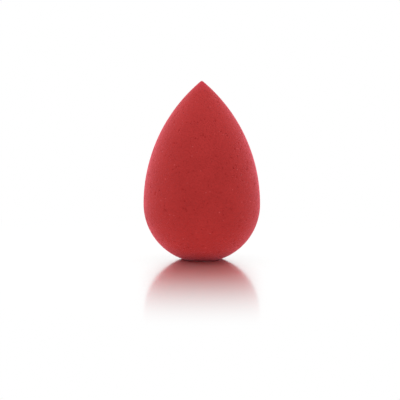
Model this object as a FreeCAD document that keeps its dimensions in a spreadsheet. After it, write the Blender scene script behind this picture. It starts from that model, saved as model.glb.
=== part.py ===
# Teardrop makeup sponge: one foam moulding with a fine-pored outer skin over an open-celled core.
# Millimetres, +Z up, origin at the centre of the flat foot that the sponge stands on.

import FreeCAD
import Part
import Sketcher

import math
import os

# Driving dimensions
SIZES = {
    "belly_diameter": 40.0,  # the widest section
    "sponge_height": 61.0,  # from the foot to the point
    "foot_diameter": 13.3,  # the flat under the sponge
    "bowl_radius": 20.0,  # the round underside, from the foot up to the belly
    "tip_radius": 0.6,  # rounding of the point
    "skin_thickness": 0.6,  # the skin at the belly and under the foot
    "tip_skin_thickness": 1.0,  # the skin where it runs together in the point
    "core_tip_radius": 0.9,  # rounding of the core under the point
}
FULL_TURN = 360.0
VOLUME_TOLERANCE_SHARE = 1e-6

# The two outlines, by the sizes that set them: how far each lies inside the sponge's surface,
# how far under the point it ends, and the radius that rounds it there.
SURFACE = {"inset": None, "tip_inset": None, "tip_radius": "tip_radius"}
UNDER_SKIN = {
    "inset": "skin_thickness",
    "tip_inset": "tip_skin_thickness",
    "tip_radius": "core_tip_radius",
}

# The belly is as high as the bowl's centre has to be for the bowl to end at the foot's edge.
BELLY_HEIGHT = (
    "sqrt(Sizes.bowl_radius ^ 2"
    " - (Sizes.foot_diameter / 2 - Sizes.belly_diameter / 2 + Sizes.bowl_radius) ^ 2)"
)


def make_sheet(doc):
    """The spreadsheet of driving dimensions, with a named cell for each."""
    sheet = doc.addObject("Spreadsheet::Sheet", "Sizes")
    for row, (alias, size) in enumerate(SIZES.items(), start=1):
        sheet.set(f"A{row}", alias)
        sheet.set(f"B{row}", str(size))
        sheet.setAlias(f"B{row}", alias)
    doc.recompute()
    return sheet


def size_of(sheet, alias):
    """The number in a named cell, or zero where an outline has no such size."""
    return getattr(sheet, alias) if alias else 0


def cell(alias):
    """The expression that reads a named cell, or zero where an outline has no such size."""
    return f"Sizes.{alias}" if alias else "0"


def point(x, z):
    """A point of an outline, in the sketch's own plane."""
    return FreeCAD.Vector(x, z, 0)


def arc(centre, radius, start_angle, end_angle):
    """An anticlockwise arc of an outline, with its angles in radians."""
    circle = Part.Circle(centre, FreeCAD.Vector(0, 0, 1), radius)
    return Part.ArcOfCircle(circle, start_angle, end_angle)


def draw_teardrop(sketch, sheet, outline):
    """Half a teardrop: flat foot, round bowl up to the belly, one long flank arc, rounded point.

    Returns the numbers of its five edges and the sizes that they were drawn at.
    """
    inset = size_of(sheet, outline["inset"])
    tip_radius = size_of(sheet, outline["tip_radius"])
    top = sheet.sponge_height - size_of(sheet, outline["tip_inset"])
    bowl_reach = sheet.foot_diameter / 2 - sheet.belly_diameter / 2 + sheet.bowl_radius
    belly_height = math.sqrt(sheet.bowl_radius**2 - bowl_reach**2)
    belly_radius = sheet.belly_diameter / 2 - inset
    bowl_radius = sheet.bowl_radius - inset
    bowl_centre = point(belly_radius - bowl_radius, belly_height)
    foot_reach = math.sqrt(bowl_radius**2 - (belly_height - inset) ** 2)
    foot_edge = point(bowl_centre.x + foot_reach, inset)
    foot_angle = math.atan2(inset - belly_height, foot_reach)

    # The flank leaves the belly upright and runs smoothly into the rounding of the point.
    tip_rise = top - tip_radius - belly_height
    flank_radius = (tip_rise**2 + belly_radius**2 - tip_radius**2) / (2 * (belly_radius - tip_radius))
    flank_centre = point(belly_radius - flank_radius, belly_height)
    tip_angle = math.atan2(tip_rise, -flank_centre.x)

    edges = {
        "foot": Part.LineSegment(point(0, inset), foot_edge),
        "bowl": arc(bowl_centre, bowl_radius, foot_angle, 0),
        "flank": arc(flank_centre, flank_radius, 0, tip_angle),
        "tip": arc(point(0, top - tip_radius), tip_radius, tip_angle, math.pi / 2),
        "axis": Part.LineSegment(point(0, top), point(0, inset)),
    }
    numbers = {name: sketch.addGeometry(edge) for name, edge in edges.items()}
    drawn = {
        "foot_height": inset,
        "belly_radius": belly_radius,
        "belly_height": belly_height,
        "bowl_radius": bowl_radius,
        "tip_radius": tip_radius,
        "top_height": top,
    }
    return numbers, drawn


def constrain_teardrop(sketch, numbers, drawn, outline):
    """Joins the five edges smoothly and ties their sizes to the spreadsheet."""
    foot, bowl, flank, tip, axis = (numbers[name] for name in ("foot", "bowl", "flank", "tip", "axis"))
    start, end, centre = 1, 2, 3
    origin, upright = -1, -2
    joins = (
        ("Coincident", foot, end, bowl, start),
        ("Tangent", bowl, end, flank, start),
        ("Tangent", flank, end, tip, start),
        ("Coincident", tip, end, axis, start),
        ("Coincident", axis, end, foot, start),
        ("Horizontal", foot),
        ("Horizontal", bowl, centre, bowl, end),
        ("PointOnObject", axis, end, upright),
        ("PointOnObject", tip, end, upright),
        ("PointOnObject", tip, centre, upright),
    )
    for join in joins:
        sketch.addConstraint(Sketcher.Constraint(*join))

    inset, tip_inset = cell(outline["inset"]), cell(outline["tip_inset"])
    sizes = {
        "foot_height": (("DistanceY", origin, start, foot, start), inset),
        "belly_radius": (("DistanceX", origin, start, bowl, end), f"Sizes.belly_diameter / 2 - {inset}"),
        "belly_height": (("DistanceY", origin, start, bowl, centre), BELLY_HEIGHT),
        "bowl_radius": (("Radius", bowl), f"Sizes.bowl_radius - {inset}"),
        "tip_radius": (("Radius", tip), cell(outline["tip_radius"])),
        "top_height": (("DistanceY", origin, start, tip, end), f"Sizes.sponge_height - {tip_inset}"),
    }
    for name, (measure, expression) in sizes.items():
        number = sketch.addConstraint(Sketcher.Constraint(*measure, drawn[name]))
        sketch.renameConstraint(number, name)
        sketch.setExpression(f"Constraints.{name}", expression)


def teardrop_sketch(body, name, sheet, outline):
    """A sketch of one outline, upright in the body's own XZ plane."""
    sketch = body.newObject("Sketcher::SketchObject", name)
    plane = next(p for p in body.Origin.OriginFeatures if p.Role == "XZ_Plane")
    sketch.AttachmentSupport = [(plane, "")]
    sketch.MapMode = "FlatFace"
    numbers, drawn = draw_teardrop(sketch, sheet, outline)
    constrain_teardrop(sketch, numbers, drawn, outline)
    return sketch


def turn(body, kind, name, sketch):
    """A full turn of a sketch about the sponge's axis: a Revolution adds it, a Groove cuts it away."""
    feature = body.newObject(f"PartDesign::{kind}", name)
    feature.Profile = sketch
    feature.ReferenceAxis = (sketch, ["V_Axis"])
    feature.Angle = FULL_TURN
    body.Document.recompute()
    return feature


def make_body(doc, label):
    """An empty body at the sponge's origin."""
    body = doc.addObject("PartDesign::Body", label)
    body.Label = label
    body.Placement = FreeCAD.Placement()
    return body


def make_core(doc, sheet):
    """The open-celled inside of the sponge, all of it under the skin."""
    body = make_body(doc, "foam_core")
    turn(body, "Revolution", "core_turn", teardrop_sketch(body, "core_outline", sheet, UNDER_SKIN))
    return body


def make_skin(doc, sheet):
    """The fine-pored layer that the foam forms against its mould, closed all round the core."""
    body = make_body(doc, "outer_skin")
    turn(body, "Revolution", "skin_turn", teardrop_sketch(body, "skin_outline", sheet, SURFACE))
    turn(body, "Groove", "core_space", teardrop_sketch(body, "core_space_outline", sheet, UNDER_SKIN))
    return body


def check(doc, bodies):
    """Stops the build if an object failed, a shape is unsound or the core's space was not cut out."""
    for item in doc.Objects:
        if "Invalid" in item.State or "Error" in item.State:
            raise RuntimeError(f"{item.Name} failed: {item.State}")
    for body in bodies:
        if body.Shape.isNull() or not body.Shape.isValid() or len(body.Shape.Solids) != 1:
            raise RuntimeError(f"{body.Label} is not one sound solid")
    core, skin = bodies
    whole = doc.getObject("skin_turn").Shape.Volume
    if abs(whole - core.Shape.Volume - skin.Shape.Volume) > VOLUME_TOLERANCE_SHARE * whole:
        raise RuntimeError("the core does not fill the space inside the skin")


def write_parts(bodies):
    """One file for each piece, named after it."""
    os.makedirs("parts", exist_ok=True)
    for body in bodies:
        body.Shape.exportStep(f"parts/{body.Label}.step")
        box = body.Shape.BoundBox
        print(
            f"{body.Label}: {box.XLength:.2f} x {box.YLength:.2f} x {box.ZLength:.2f} mm,"
            f" {body.Shape.Volume:.0f} mm3"
        )


def main():
    doc = FreeCAD.newDocument("makeup_sponge")
    sheet = make_sheet(doc)
    bodies = [make_core(doc, sheet), make_skin(doc, sheet)]
    doc.recompute()
    check(doc, bodies)
    write_parts(bodies)


main()
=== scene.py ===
# Teardrop makeup sponge: fine-pored red foam, standing on a pale glossy table in a white light tent.
# Metres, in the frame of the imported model: +Z up, origin at the centre of the sponge's foot.

import math
import random

import bpy
import numpy as np
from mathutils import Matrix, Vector, kdtree, noise


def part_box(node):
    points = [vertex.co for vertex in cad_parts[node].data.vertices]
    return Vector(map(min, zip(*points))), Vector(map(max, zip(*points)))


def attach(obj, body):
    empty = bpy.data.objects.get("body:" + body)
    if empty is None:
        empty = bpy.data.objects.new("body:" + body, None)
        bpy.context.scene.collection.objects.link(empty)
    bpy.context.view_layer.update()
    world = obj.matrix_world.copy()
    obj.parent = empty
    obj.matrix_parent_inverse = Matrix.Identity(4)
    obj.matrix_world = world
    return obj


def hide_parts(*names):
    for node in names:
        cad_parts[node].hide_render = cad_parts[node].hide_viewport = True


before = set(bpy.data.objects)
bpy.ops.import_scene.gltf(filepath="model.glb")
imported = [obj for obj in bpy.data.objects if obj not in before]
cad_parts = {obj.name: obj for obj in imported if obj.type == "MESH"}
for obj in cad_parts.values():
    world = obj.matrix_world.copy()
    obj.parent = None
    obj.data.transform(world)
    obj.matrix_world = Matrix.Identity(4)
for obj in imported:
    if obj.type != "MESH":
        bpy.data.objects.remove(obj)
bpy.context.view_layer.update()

MM = 0.001

# Sizes of the sponge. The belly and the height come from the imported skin.
skin_low, skin_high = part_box("outer_skin")
BELLY_RADIUS = (skin_high.x - skin_low.x) / 2
SPONGE_HEIGHT = skin_high.z
FOOT_RADIUS = 6.65 * MM
BOWL_RADIUS = 20.0 * MM
TIP_RADIUS = 0.6 * MM
SKIN_THICKNESS = 0.6 * MM
TIP_SKIN_THICKNESS = 1.0 * MM
CORE_TIP_RADIUS = 0.9 * MM
CORE_CLEARANCE = 0.05 * MM

# Each outline: how far it lies inside the surface, how far under the point, and its rounding there.
SURFACE = {"inset": 0, "tip_inset": 0, "tip_radius": TIP_RADIUS}
UNDER_SKIN = {
    "inset": SKIN_THICKNESS,
    "tip_inset": TIP_SKIN_THICKNESS,
    "tip_radius": CORE_TIP_RADIUS,
}
CORE_SURFACE = {
    "inset": SKIN_THICKNESS + CORE_CLEARANCE,
    "tip_inset": TIP_SKIN_THICKNESS + CORE_CLEARANCE,
    "tip_radius": CORE_TIP_RADIUS,
}

# How finely a layer is drawn: points along each stretch of its outline, and quads along each edge of the
# cube that its mesh is blown up from.
OUTLINE_SAMPLES = 400
SKIN_GRID = 126
SKIN_INSIDE_GRID = 24
CORE_GRID = 64

# Open pores in the skin and cells in the core: how many, how wide and how deep, leaning to the small.
SKIN_PORES = {"count": 900, "radius": (0.22 * MM, 0.48 * MM), "depth": (0.10 * MM, 0.28 * MM)}
CORE_CELLS = {"count": 2600, "radius": (0.5 * MM, 1.1 * MM), "depth": (0.2 * MM, 0.6 * MM)}
PORE_SKEW = 2
PORE_SEED = 7
CELL_SEED = 11

# Unevenness of the moulding: a slow swell, and the nap of the foam. Both fade out at the foot.
SWELL_LENGTH = 14 * MM
SWELL_HEIGHT = 0.06 * MM
NAP_LENGTH = 0.7 * MM
NAP_HEIGHT = 0.02 * MM
FOOT_FADE_HEIGHT = 1.5 * MM

# Colours of the foam, linear. The thin point lets light through, and this is painted in: painted light
# makes it pinker towards its end.
FOAM_RED = (0.41, 0.028, 0.027, 1)
DEEP_RED = (0.385, 0.025, 0.024, 1)
PALE_RED = (0.43, 0.031, 0.031, 1)
# Painted shade: the darker colour put into pores, pinholes and cells, as if shade fell in them.
PAINTED_PORE_SHADE = (0.335, 0.013, 0.013, 1)
# Painted highlight: the pale colour of small glints, where cell walls would catch the light.
PAINTED_GLINT = (0.52, 0.065, 0.068, 1)
RIM_PINK = (1.0, 0.23, 0.31, 1)
PAINTED_POINT_LIGHT = (0.50, 0.034, 0.052, 1)
POINT_LENGTH = 4 * MM

# The foam's clouds and grain, its faint gloss, its soft sheen, and how tightly it fills its form.
CLOUD_DETAIL = 3
CLOUD_SHARES = (0.35, 0.65)
GRAIN_DETAIL = 4
GRAIN_SHARES = (0.45, 0.75)
FOAM_ROUGHNESS = (0.82, 0.98)
FOAM_SPECULAR = 0.15
SHEEN_WEIGHT = 1.0
SHEEN_ROUGHNESS = 0.35

# Cells, pinholes and glints too small for the mesh: where the rim of the widest ones starts and ends, as
# shares of their spacing, and how much their sizes lean to small. Cells and pinholes get painted shade as
# well as their bump; glints are painted highlights. Noise wobbles them out of round.
CELL_RIM_SHARES = (0.80, 0.20)
CELL_SKEW = 0.5
CELL_SHADE_SHARE = 0.40
CELL_DEPTH_SHARE = 0.6
PINHOLE_RIM_SHARES = (0.30, 0.16)
PINHOLE_SKEW = 2.5
GLINT_RIM_SHARES = (0.24, 0.10)
GLINT_SKEW = 2.0
WOBBLE_SHARE = 0.5
SKIN_FOAM = {
    "cloud_length": 9 * MM,
    "grain_length": 0.35 * MM,
    "cell_spacing": 0.36 * MM,
    "pinhole_spacing": 1.2 * MM,
    "glint_spacing": 1.5 * MM,
    "bump_depth": 0.10 * MM,
}
CORE_FOAM = {
    "cloud_length": 9 * MM,
    "grain_length": 0.6 * MM,
    "cell_spacing": 0.6 * MM,
    "pinhole_spacing": 1.6 * MM,
    "glint_spacing": 2.0 * MM,
    "bump_depth": 0.3 * MM,
}

# The photograph's view: its side and the column of the sponge's axis, in pixels, and what a pixel spans.
PHOTO_SIDE = 400
PIXEL = 0.3429 * MM
AXIS_COLUMN = 201.8
AIM_HEIGHT = 20.21 * MM
VIEW_ELEVATION = math.radians(4.5)
VIEW_DISTANCE = 600 * MM
SENSOR_MM = 36.0

# The table. Its reflection and its shadow have faded out at the first radius and are full at the second.
# Its gloss starts at the first share of the way from a look straight down to a look along it, and is full
# at the second. It is part sharp, part soft, and never hides the table altogether.
FLOOR_RADIUS = 3000 * MM
FLOOR_SIDES = 96
FLOOR_GAP = 0.02 * MM
REFLECTION_RADII = (158 * MM, 22 * MM)
SHADOW_RADII = (110 * MM, 20 * MM)
GLOSS_SHARES = (0.40, 0.86)
GLOSS_FULL_SHARE = 0.95
SHARP_GLOSS = 0.10
SOFT_GLOSS = 0.29
SOFT_GLOSS_SHARE = 0.28

# The table as it is seen, which the lamps bring to just under white, and as it lights the sponge.
FLOOR_PALE = (0.82, 0.82, 0.82, 1)
FLOOR_WARM = (0.97, 0.89, 0.85, 1)

# A small warm light under the table, round the foot: the radii where it starts, is full and ends.
UNDERLIGHT_STRENGTH = 0.40
UNDERLIGHT_WARM = (1, 0.65, 0.5, 1)
UNDERLIGHT_RADII = (10 * MM, 16 * MM, 25 * MM)

# The light tent: its white as it is seen, its strength on the sponge, and its softboxes.
WHITE = (1, 1, 1, 1)
WHITE_STRENGTH = 1.0
TENT_STRENGTH = 0.73
SOFTBOXES = {
    "left_softbox": {"place": (-400 * MM, 230 * MM, 170 * MM), "side": 320 * MM, "watts": 0.76},
    "right_softbox": {"place": (400 * MM, 230 * MM, 110 * MM), "side": 200 * MM, "watts": 0.42},
    "top_softbox": {"place": (0, 0, 510 * MM), "side": 320 * MM, "watts": 1.36},
}


# Outline and mesh of a layer

def teardrop_outline(inset, tip_inset, tip_radius):
    """Half a teardrop from the middle of the foot to the point: radii, heights, normals, area shares."""
    bowl_reach = FOOT_RADIUS - BELLY_RADIUS + BOWL_RADIUS
    belly_height = math.sqrt(BOWL_RADIUS**2 - bowl_reach**2)
    belly_radius = BELLY_RADIUS - inset
    bowl_radius = BOWL_RADIUS - inset
    top = SPONGE_HEIGHT - tip_inset
    foot_reach = math.sqrt(bowl_radius**2 - (belly_height - inset) ** 2)
    foot_angle = math.atan2(inset - belly_height, foot_reach)
    tip_rise = top - tip_radius - belly_height
    flank_radius = (tip_rise**2 + belly_radius**2 - tip_radius**2) / (2 * (belly_radius - tip_radius))
    tip_angle = math.atan2(tip_rise, flank_radius - belly_radius)

    steps = np.linspace(0, 1, OUTLINE_SAMPLES)
    foot_edge = belly_radius - bowl_radius + foot_reach
    radii, heights = [steps * foot_edge], [np.full_like(steps, inset)]
    out, up = [np.zeros_like(steps)], [np.full_like(steps, -1)]
    arcs = (
        (belly_radius - bowl_radius, belly_height, bowl_radius, foot_angle, 0),
        (belly_radius - flank_radius, belly_height, flank_radius, 0, tip_angle),
        (0, top - tip_radius, tip_radius, tip_angle, math.pi / 2),
    )
    for centre_out, centre_up, radius, start, end in arcs:
        angles = start + steps * (end - start)
        out.append(np.cos(angles))
        up.append(np.sin(angles))
        radii.append(centre_out + radius * np.cos(angles))
        heights.append(centre_up + radius * np.sin(angles))
    radii, heights = np.concatenate(radii), np.concatenate(heights)
    strips = np.hypot(np.diff(radii), np.diff(heights)) * (radii[1:] + radii[:-1])
    areas = np.concatenate([[0], np.cumsum(strips)])
    return radii, heights, np.concatenate(out), np.concatenate(up), areas / areas[-1]


def cube_grid(cells):
    """A cube of square cells blown up to a ball: unit directions, and quads that face outwards."""
    axes = 3
    steps = np.arange(cells + 1)
    u, v = np.meshgrid(steps, steps, indexing="ij")
    numbers = np.arange((cells + 1) ** 2).reshape(cells + 1, cells + 1)
    corners = (numbers[:-1, :-1], numbers[1:, :-1], numbers[1:, 1:], numbers[:-1, 1:])
    quads = np.stack([corner.ravel() for corner in corners], axis=1)
    lattice, faces = [], []
    for axis in range(axes):
        for side in (0, cells):
            plane = np.empty((cells + 1, cells + 1, axes), int)
            plane[..., axis] = side
            plane[..., (axis + 1) % axes] = u
            plane[..., (axis + 2) % axes] = v
            faces.append((quads if side else quads[:, ::-1]) + len(lattice) * numbers.size)
            lattice.append(plane.reshape(-1, axes))
    points, merged = np.unique(np.concatenate(lattice), axis=0, return_inverse=True)

    # Equal angles between the lines of cells keep them about one size all over the ball.
    directions = np.tan((2 * points / cells - 1) * math.pi / 4)
    directions /= np.linalg.norm(directions, axis=1, keepdims=True)
    return directions, merged.reshape(-1)[np.concatenate(faces)]


def on_outline(directions, outline):
    """Points and normals of a layer, spread so that equal parts of a ball get equal parts of its skin."""
    radii, heights, out, up, shares = outline
    share = (1 + directions[:, 2]) / 2
    flat = np.hypot(directions[:, 0], directions[:, 1])
    turn = directions[:, :2] / np.where(flat > 0, flat, 1)[:, None]
    sideways, upwards = np.interp(share, shares, radii), np.interp(share, shares, heights)
    points = np.column_stack([turn * sideways[:, None], upwards])
    normals = np.column_stack([turn * np.interp(share, shares, out)[:, None], np.interp(share, shares, up)])
    return points, normals / np.linalg.norm(normals, axis=1, keepdims=True)


def random_directions(chance, count):
    """Unit directions spread evenly over a ball."""
    heights = [chance.uniform(-1, 1) for _ in range(count)]
    turns = [chance.uniform(-math.pi, math.pi) for _ in range(count)]
    rows = [
        (math.sqrt(1 - z * z) * math.cos(turn), math.sqrt(1 - z * z) * math.sin(turn), z)
        for z, turn in zip(heights, turns)
    ]
    return np.array(rows)


def pore_depths(points, outline, pores, seed):
    """How deep each point lies in a scatter of round-bottomed pores, and the same as a share."""
    chance = random.Random(seed)
    tree = kdtree.KDTree(len(points))
    for number, point in enumerate(points):
        tree.insert(point, number)
    tree.balance()
    depths = np.zeros(len(points))
    centres, _ = on_outline(random_directions(chance, pores["count"]), outline)
    for centre in centres:
        size = chance.random() ** PORE_SKEW
        radius = np.interp(size, (0, 1), pores["radius"])
        depth = np.interp(size, (0, 1), pores["depth"])
        for _, number, distance in tree.find_range(centre, radius):
            depths[number] = max(depths[number], depth * (1 - (distance / radius) ** 2) ** 2)
    return depths, depths / pores["depth"][1]


def waves(points, length):
    """Smooth noise from -1 to 1 with features about as long as the given length."""
    return np.array([noise.noise(Vector(point) / length) for point in points])


def layer_surface(cells, outline, pores, seed):
    """The outside of a foam layer, with its swell, nap and pores moved inwards from the outline."""
    directions, faces = cube_grid(cells)
    points, normals = on_outline(directions, outline)
    depths, shares = pore_depths(points, outline, pores, seed)
    above_foot = np.clip((points[:, 2] - points[:, 2].min()) / FOOT_FADE_HEIGHT, 0, 1)
    swell = SWELL_HEIGHT * waves(points, SWELL_LENGTH) / 2
    nap = NAP_HEIGHT * (1 + waves(points, NAP_LENGTH)) / 2
    inwards = depths + above_foot * (swell + nap)
    return points - normals * inwards[:, None], faces, shares


def foam_piece(name, points, faces, pore_shares, material):
    """A smooth-shaded mesh object that carries its pores as a point attribute."""
    mesh = bpy.data.meshes.new(name)
    mesh.from_pydata(points.tolist(), [], faces.tolist())
    pore = mesh.attributes.new("pore", "FLOAT", "POINT")
    pore.data.foreach_set("value", pore_shares.astype(np.float32))
    mesh.shade_smooth()
    mesh.materials.append(material)
    piece = bpy.data.objects.new(name, mesh)
    bpy.context.scene.collection.objects.link(piece)
    return piece


# Materials

def add_node(tree, kind, inputs=None, **settings):
    """A shader node with its settings, and with values or other nodes' outputs on its inputs."""
    made = tree.nodes.new(kind)
    for name, value in settings.items():
        setattr(made, name, value)
    for name, value in (inputs or {}).items():
        if isinstance(value, bpy.types.NodeSocket):
            tree.links.new(value, made.inputs[name])
        else:
            made.inputs[name].default_value = value
    return made


def new_material(name):
    """An empty node material and its tree."""
    material = bpy.data.materials.new(name)
    material.use_nodes = True
    material.node_tree.nodes.clear()
    return material, material.node_tree


def mix_colours(tree, share, first, second):
    """The colour that lies that share of the way from the first to the second."""
    factor_socket, first_socket, second_socket, result_socket = 0, 6, 7, 2
    inputs = {factor_socket: share, first_socket: first, second_socket: second}
    mixer = add_node(tree, "ShaderNodeMix", inputs, data_type="RGBA", clamp_factor=True)
    return mixer.outputs[result_socket]


def ramp(tree, value, low, high):
    """The value taken smoothly from 0 at low to 1 at high."""
    inputs = {"Value": value, "From Min": low, "From Max": high}
    return add_node(tree, "ShaderNodeMapRange", inputs, interpolation_type="SMOOTHSTEP").outputs["Result"]


def math_node(tree, operation, first, second):
    """One operation on two values."""
    return add_node(tree, "ShaderNodeMath", {0: first, 1: second}, operation=operation).outputs[0]


def wobble(tree, place, length, reach):
    """The place moved about by noise, so that what is drawn with it comes out less regular."""
    shift = add_node(tree, "ShaderNodeTexNoise", {"Vector": place, "Scale": 1 / length}).outputs["Color"]
    inputs = {0: shift, 1: (reach, reach, reach), 2: place}
    return add_node(tree, "ShaderNodeVectorMath", inputs, operation="MULTIPLY_ADD").outputs["Vector"]


def pits(tree, place, spacing, rim_shares, skew):
    """Round pits of mixed sizes, one to a cell of the foam: 1 in the middle of a pit, 0 outside its rim."""
    cells = add_node(tree, "ShaderNodeTexVoronoi", {"Vector": place, "Scale": 1 / spacing}).outputs
    chance = add_node(tree, "ShaderNodeSeparateColor", {"Color": cells["Color"]}).outputs["Red"]
    size = math_node(tree, "POWER", chance, skew)
    return ramp(tree, math_node(tree, "DIVIDE", cells["Distance"], size), *rim_shares)


def mottle(tree, place, length, detail):
    """Cloudy noise from 0 to 1 with features about as long as the given length."""
    inputs = {"Vector": place, "Scale": 1 / length, "Detail": detail}
    return add_node(tree, "ShaderNodeTexNoise", inputs).outputs["Fac"]


def point_light_share(tree, place):
    """0 over most of the sponge, rising to 1 at the end of its point, where painted light is mixed in."""
    height = add_node(tree, "ShaderNodeSeparateXYZ", {"Vector": place}).outputs["Z"]
    return ramp(tree, height, SPONGE_HEIGHT - POINT_LENGTH, SPONGE_HEIGHT)


def foam_material(
    name, cloud_length, grain_length, cell_spacing, pinhole_spacing, glint_spacing, bump_depth
):
    """Matte foam: clouds of colour, fine cells, pinholes and pores with painted shade, painted glints, a
    point painted paler as painted light, and a pink sheen.
    """
    material, tree = new_material(name)
    place = add_node(tree, "ShaderNodeTexCoord").outputs["Object"]
    clouds = mottle(tree, place, cloud_length, CLOUD_DETAIL)
    grain = mottle(tree, place, grain_length, GRAIN_DETAIL)
    uneven = wobble(tree, place, cell_spacing, cell_spacing * WOBBLE_SHARE)
    cells = pits(tree, uneven, cell_spacing, CELL_RIM_SHARES, CELL_SKEW)
    pinholes = pits(tree, uneven, pinhole_spacing, PINHOLE_RIM_SHARES, PINHOLE_SKEW)
    glints = pits(tree, uneven, glint_spacing, GLINT_RIM_SHARES, GLINT_SKEW)
    pores = add_node(tree, "ShaderNodeAttribute", attribute_name="pore").outputs["Fac"]

    colour = mix_colours(tree, ramp(tree, clouds, *CLOUD_SHARES), DEEP_RED, FOAM_RED)
    colour = mix_colours(tree, ramp(tree, grain, *GRAIN_SHARES), colour, PALE_RED)
    # Painted light: the point turns paler towards its end, as if lit through.
    colour = mix_colours(tree, point_light_share(tree, place), colour, PAINTED_POINT_LIGHT)
    # Painted shade in the cells, pinholes and pores.
    colour = mix_colours(tree, math_node(tree, "MULTIPLY", cells, CELL_SHADE_SHARE), colour, PAINTED_PORE_SHADE)
    # Painted highlights: small pale glints where cell walls catch the light.
    colour = mix_colours(tree, glints, colour, PAINTED_GLINT)
    colour = mix_colours(tree, math_node(tree, "MAXIMUM", pinholes, pores), colour, PAINTED_PORE_SHADE)
    holes = math_node(tree, "MAXIMUM", pinholes, math_node(tree, "MULTIPLY", cells, CELL_DEPTH_SHARE))
    bump = add_node(tree, "ShaderNodeBump", {"Height": holes, "Distance": bump_depth}, invert=True)
    low, high = FOAM_ROUGHNESS
    roughness = add_node(tree, "ShaderNodeMapRange", {"Value": grain, "To Min": low, "To Max": high})
    shader = add_node(tree, "ShaderNodeBsdfPrincipled", {
        "Base Color": colour,
        "Roughness": roughness.outputs["Result"],
        "Normal": bump.outputs["Normal"],
        "Specular IOR Level": FOAM_SPECULAR,
        "Sheen Weight": SHEEN_WEIGHT,
        "Sheen Roughness": SHEEN_ROUGHNESS,
        "Sheen Tint": RIM_PINK,
    })
    add_node(tree, "ShaderNodeOutputMaterial", {"Surface": shader.outputs["BSDF"]})
    return material


def seen_directly(tree):
    """1 for what the camera sees, also in a mirror or through glass, and 0 for light on a matte surface."""
    path = add_node(tree, "ShaderNodeLightPath").outputs
    mirrored = math_node(tree, "MAXIMUM", path["Is Glossy Ray"], path["Is Transmission Ray"])
    return math_node(tree, "MAXIMUM", path["Is Camera Ray"], mirrored)


def mix_shaders(tree, share, first, second):
    """The shader that lies that share of the way from the first to the second."""
    return add_node(tree, "ShaderNodeMixShader", {0: share, 1: first, 2: second}).outputs[0]


def table_look(tree, distance):
    """Pale gloss that mirrors the sponge at a low angle near its foot, and fades to the white tent."""
    glow = add_node(tree, "ShaderNodeEmission", {"Color": WHITE, "Strength": WHITE_STRENGTH}).outputs[0]
    pale = add_node(tree, "ShaderNodeBsdfDiffuse", {"Color": FLOOR_PALE}).outputs[0]
    sharp = add_node(tree, "ShaderNodeBsdfGlossy", {"Color": WHITE, "Roughness": SHARP_GLOSS}).outputs[0]
    soft = add_node(tree, "ShaderNodeBsdfGlossy", {"Color": WHITE, "Roughness": SOFT_GLOSS}).outputs[0]
    plain = mix_shaders(tree, ramp(tree, distance, *SHADOW_RADII), glow, pale)
    gloss = mix_shaders(tree, SOFT_GLOSS_SHARE, sharp, soft)

    facing = add_node(tree, "ShaderNodeLayerWeight").outputs["Facing"]
    near = ramp(tree, distance, *REFLECTION_RADII)
    most = math_node(tree, "MULTIPLY", near, GLOSS_FULL_SHARE)
    gloss_share = math_node(tree, "MULTIPLY", most, ramp(tree, facing, *GLOSS_SHARES))
    return mix_shaders(tree, gloss_share, plain, gloss)


def table_light(tree, distance):
    """What the sponge gets from the table: warm white, and a little light from under it round the foot."""
    warm = add_node(tree, "ShaderNodeBsdfDiffuse", {"Color": FLOOR_WARM}).outputs[0]
    start, middle, end = UNDERLIGHT_RADII
    rise = ramp(tree, distance, start, middle)
    fall = ramp(tree, distance, end, middle)
    ring = math_node(tree, "MULTIPLY", rise, fall)
    strength = math_node(tree, "MULTIPLY", ring, UNDERLIGHT_STRENGTH)
    inputs = {"Color": UNDERLIGHT_WARM, "Strength": strength}
    under = add_node(tree, "ShaderNodeEmission", inputs).outputs[0]
    return add_node(tree, "ShaderNodeAddShader", {0: warm, 1: under}).outputs[0]


def table_material():
    """The table: one look for what is seen of it, and another for the light that it gives the sponge."""
    material, tree = new_material("table_pale")
    place = add_node(tree, "ShaderNodeTexCoord").outputs["Object"]
    distance = add_node(tree, "ShaderNodeVectorMath", {0: place}, operation="LENGTH").outputs["Value"]
    light = table_light(tree, distance)
    look = table_look(tree, distance)
    floor = mix_shaders(tree, seen_directly(tree), light, look)
    add_node(tree, "ShaderNodeOutputMaterial", {"Surface": floor})
    return material


# Pieces of the sponge

def make_skin():
    """The fine-pored skin: its pored outside, and the plain inside wall that lies on the core."""
    outside, faces, pores = layer_surface(SKIN_GRID, teardrop_outline(**SURFACE), SKIN_PORES, PORE_SEED)
    directions, inside_faces = cube_grid(SKIN_INSIDE_GRID)
    inside, _ = on_outline(directions, teardrop_outline(**UNDER_SKIN))
    points = np.concatenate([outside, inside])
    faces = np.concatenate([faces, inside_faces[:, ::-1] + len(outside)])
    pores = np.concatenate([pores, np.zeros(len(inside))])
    material = foam_material("skin_foam", **SKIN_FOAM)
    skin = foam_piece("skin", points, faces, pores, material)
    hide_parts("outer_skin")
    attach(skin, "root")


def make_core():
    """The open-celled foam inside the skin."""
    points, faces, pores = layer_surface(CORE_GRID, teardrop_outline(**CORE_SURFACE), CORE_CELLS, CELL_SEED)
    material = foam_material("core_foam", **CORE_FOAM)
    core = foam_piece("core", points, faces, pores, material)
    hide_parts("foam_core")
    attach(core, "root")


# Stage

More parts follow.
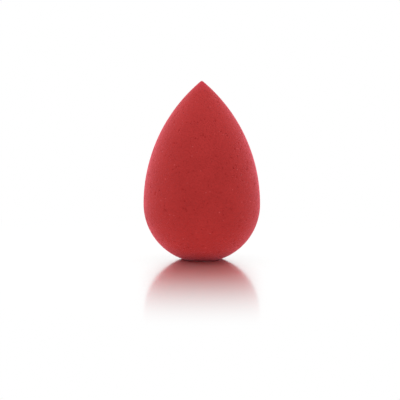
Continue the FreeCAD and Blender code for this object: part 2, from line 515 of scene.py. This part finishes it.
def make_table():
    """A wide round table top just under the foot."""
    bpy.ops.mesh.primitive_circle_add(
        vertices=FLOOR_SIDES, radius=FLOOR_RADIUS, fill_type="NGON", location=(0, 0, -FLOOR_GAP)
    )
    table = bpy.context.object
    table.name = "table"
    table.data.materials.append(table_material())


def make_tent():
    """White all round, with softboxes at the sides and above."""
    world = bpy.data.worlds.new("light_tent")
    world.use_nodes = True
    tree = world.node_tree
    tree.nodes.clear()
    light = add_node(tree, "ShaderNodeBackground", {"Color": WHITE, "Strength": TENT_STRENGTH}).outputs[0]
    white = add_node(tree, "ShaderNodeBackground", {"Color": WHITE, "Strength": WHITE_STRENGTH}).outputs[0]
    both = mix_shaders(tree, seen_directly(tree), light, white)
    add_node(tree, "ShaderNodeOutputWorld", {"Surface": both})
    bpy.context.scene.world = world
    middle = Vector((0, 0, SPONGE_HEIGHT / 2))
    for name, softbox in SOFTBOXES.items():
        lamp = bpy.data.lights.new(name, "AREA")
        lamp.size = softbox["side"]
        lamp.energy = softbox["watts"]
        holder = bpy.data.objects.new(name, lamp)
        holder.location = softbox["place"]
        holder.rotation_euler = (middle - holder.location).to_track_quat("-Z", "Y").to_euler()
        bpy.context.scene.collection.objects.link(holder)


def make_camera():
    """The photograph's view: a long lens a little above the table."""
    camera = bpy.data.cameras.new("camera")
    camera.lens = SENSOR_MM * VIEW_DISTANCE / (PHOTO_SIDE * PIXEL)
    camera.sensor_width = SENSOR_MM
    aim = Vector(((PHOTO_SIDE / 2 - AXIS_COLUMN) * PIXEL, 0, AIM_HEIGHT))
    back = Vector((0, -math.cos(VIEW_ELEVATION), math.sin(VIEW_ELEVATION)))
    holder = bpy.data.objects.new("camera", camera)
    holder.location = aim + VIEW_DISTANCE * back
    holder.rotation_euler = (-back).to_track_quat("-Z", "Y").to_euler()
    bpy.context.scene.collection.objects.link(holder)
    bpy.context.scene.camera = holder


make_skin()
make_core()
make_table()
make_tent()
make_camera()
bpy.context.scene.view_settings.view_transform = "Standard"
